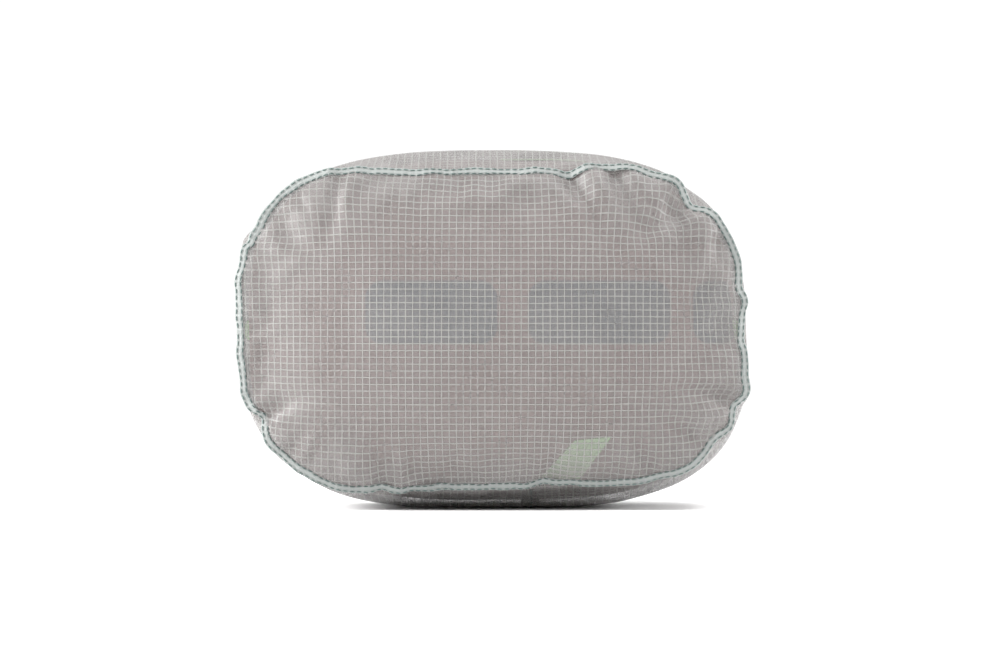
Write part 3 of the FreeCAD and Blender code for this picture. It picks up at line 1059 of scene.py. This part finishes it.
# %% Eyelet metal
eyelet_metal = Shader("eyelet_metal")
rubbed = eyelet_metal.ramp(eyelet_metal.noise(eyelet_metal.place(), 0.0012, 4.0), 0.45, 0.62)
eyelet_metal.set(
    Base_Color=eyelet_metal.mix(rubbed, tone(96, 102, 102), tone(150, 154, 152)),
    Roughness=eyelet_metal.ramp(rubbed, 0.0, 1.0, 0.42, 0.28),
    Metallic=rubbed * 0.6 + 0.3,
    Normal=eyelet_metal.bump(rubbed, 0.00005, 0.4),
)


def repaint(node, material):
    """Gives a CAD node that stays in view a finished material."""
    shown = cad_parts[node]
    for slot in shown.material_slots:
        slot.material = material


repaint("cord_eyelet", eyelet_metal.material)
repaint("eyelet_washer", eyelet_metal.material)

# %% [markdown]
# ## The pillow inside
# The pillow is a padded piece, folded once, that fills the bag and takes its shape. It is cut like
# the bag, then moved in from the cloth. The fold's gap is pressed into its sides and back. Its
# cover is a brushed knit with a plain print of three rounded bars.

# %% Pillow
PILLOW_CELL = 0.0036
PILLOW_GAP = 0.0048  # between the bag's smooth shape and the pillow
FOLD_DEPTH = 0.010
FOLD_WIDTH = 0.0055
FOLD_FROM, FOLD_TO = -0.055, -0.030  # the fold's gap opens between these depths
pillow_mesh, _, pillow_along = cut_sack(PILLOW_CELL)
pillow_mesh.normal_update()
for vert in pillow_mesh.verts:
    opened = min(max((vert.co.y - FOLD_FROM) / (FOLD_TO - FOLD_FROM), 0.0), 1.0)
    sunk = FOLD_DEPTH * opened * bell(vert.co.z - MID_Z, FOLD_WIDTH)
    lump = 0.0011 * noise.noise(vert.co / 0.028)
    vert.co -= vert.normal * (PILLOW_GAP + sunk + lump)
bmesh.ops.holes_fill(pillow_mesh, edges=[edge for edge in pillow_mesh.edges if edge.is_boundary], sides=0)
bmesh.ops.triangulate(pillow_mesh, faces=[face for face in pillow_mesh.faces if len(face.verts) > 4])

# %% Pillow cover
PRINT_UP = MID_Z + 0.007
PRINT_BARS = ((-0.024, 0.026, 0.0125), (0.042, 0.028, 0.0125), (0.088, 0.009, 0.0125))
PRINT_ROUNDING = 0.007
PRINT_BACK = -0.052  # the print is only on the front of the pillow
cover = Shader("pillow_front_knit")
cover_x, cover_y, cover_z = cover.split(cover.place())
bars = 0.0
for centre, half_x, half_z in PRINT_BARS:
    out_x = ((cover_x - centre).math("ABSOLUTE") - (half_x - PRINT_ROUNDING)).math("MAXIMUM", 0.0)
    out_z = ((cover_z - PRINT_UP).math("ABSOLUTE") - (half_z - PRINT_ROUNDING)).math("MAXIMUM", 0.0)
    gap = (out_x * out_x + out_z * out_z).math("SQRT") - PRINT_ROUNDING
    bars = bars + cover.ramp(gap, -0.0006, 0.0006, 1.0, 0.0)
printed = bars * cover.ramp(cover_y, PRINT_BACK - 0.001, PRINT_BACK + 0.001, 1.0, 0.0)
nap = cover.noise(cover.place(), 0.0016, 4.0, 0.65)
cloud = cover.noise(cover.place(), 0.030, 2.0)
knit = cover.mix(cloud, tone(130, 112, 109), tone(145, 126, 123))
cover.set(
    Base_Color=cover.mix(
        printed * 0.85, cover.mix(nap * 0.4, knit, tone(120, 102, 100)), tone(84, 98, 106)
    ),
    Roughness=cover.ramp(nap, 0.0, 1.0, 0.85, 1.0),
    Normal=cover.bump(nap, 0.0005, 0.5),
    Sheen_Weight=0.3,
)
pillow = finish_piece(
    "pillow_folded",
    pillow_mesh,
    cover.material,
    ["pillow_front_cover", "pillow_liner", "pillow_fill"],
)

# %% [markdown]
# ## The pillow's green back
# The pillow's back is a pale green woven cloth. Its corners come round to the front, where one
# shows through the base panel as a leaf of green, and one on top. Each is a small sheet that is
# laid onto the pillow along straight lines.

# %% Green corners
green = Shader("pillow_back_weave")
green_grain = green.noise(green.place(), 0.0011, 3.0)
green.set(
    Base_Color=green.mix(green_grain, tone(168, 204, 158), tone(198, 228, 186)),
    Roughness=green.ramp(green_grain, 0.0, 1.0, 0.7, 0.9),
    Normal=green.bump(green_grain, 0.0003, 0.5),
)
CORNER_LIFT, CORNER_WALL = 0.0007, 0.0004
pillow_tree = BVHTree.FromBMesh(pillow_mesh)


def lay_corner(sheet, base, tip, look):
    """Adds a patch of cloth between two straight edges, dropped onto the pillow in the direction look."""
    made = bmesh.ops.create_grid(sheet, x_segments=14, y_segments=12, size=1)["verts"]
    for vert in made:
        share, across = (vert.co.y + 1) / 2, (vert.co.x + 1) / 2
        low = Vector(base[0]).lerp(Vector(base[1]), across)
        high = Vector(tip[0]).lerp(Vector(tip[1]), across)
        start = low.lerp(high, share) - look * 0.2
        hit, _, _, _ = pillow_tree.ray_cast(start, look)
        vert.co = hit - look * CORNER_LIFT


LEAF_BASE = ((0.0187, 0, MID_Z - 0.0590), (0.0345, 0, MID_Z - 0.0590))
LEAF_TIP = ((0.0325, 0, MID_Z - 0.0435), (0.0470, 0, MID_Z - 0.0420))
TOP_BASE = ((0.003, -0.036, 0), (0.038, -0.038, 0))
TOP_TIP = ((0.007, -0.010, 0), (0.033, -0.014, 0))

corner_mesh = bmesh.new()
lay_corner(corner_mesh, LEAF_BASE, LEAF_TIP, Vector((0, 1, 0)))
lay_corner(corner_mesh, TOP_BASE, TOP_TIP, Vector((0, 0, -1)))
bmesh.ops.recalc_face_normals(corner_mesh, faces=corner_mesh.faces)
finish_piece(
    "pillow_back_corners", corner_mesh, green.material, ["pillow_back_cover"], CORNER_WALL
)
repaint("piping_sleeve", green.material)

# %% Small hidden pieces
cotton = Shader("filler_cotton")
strand = cotton.noise(cotton.place(), 0.0008, 3.0)
cotton.set(Base_Color=cotton.mix(strand, tone(216, 208, 192), tone(238, 232, 220)), Roughness=0.9)
repaint("piping_filler_cord", cotton.material)
satin = Shader("label_satin")
rib = satin.noise(satin.place(), 0.0005, 2.0)
satin.set(Base_Color=satin.mix(rib, tone(232, 232, 230), tone(248, 248, 246)), Roughness=0.35)
repaint("care_label", satin.material)
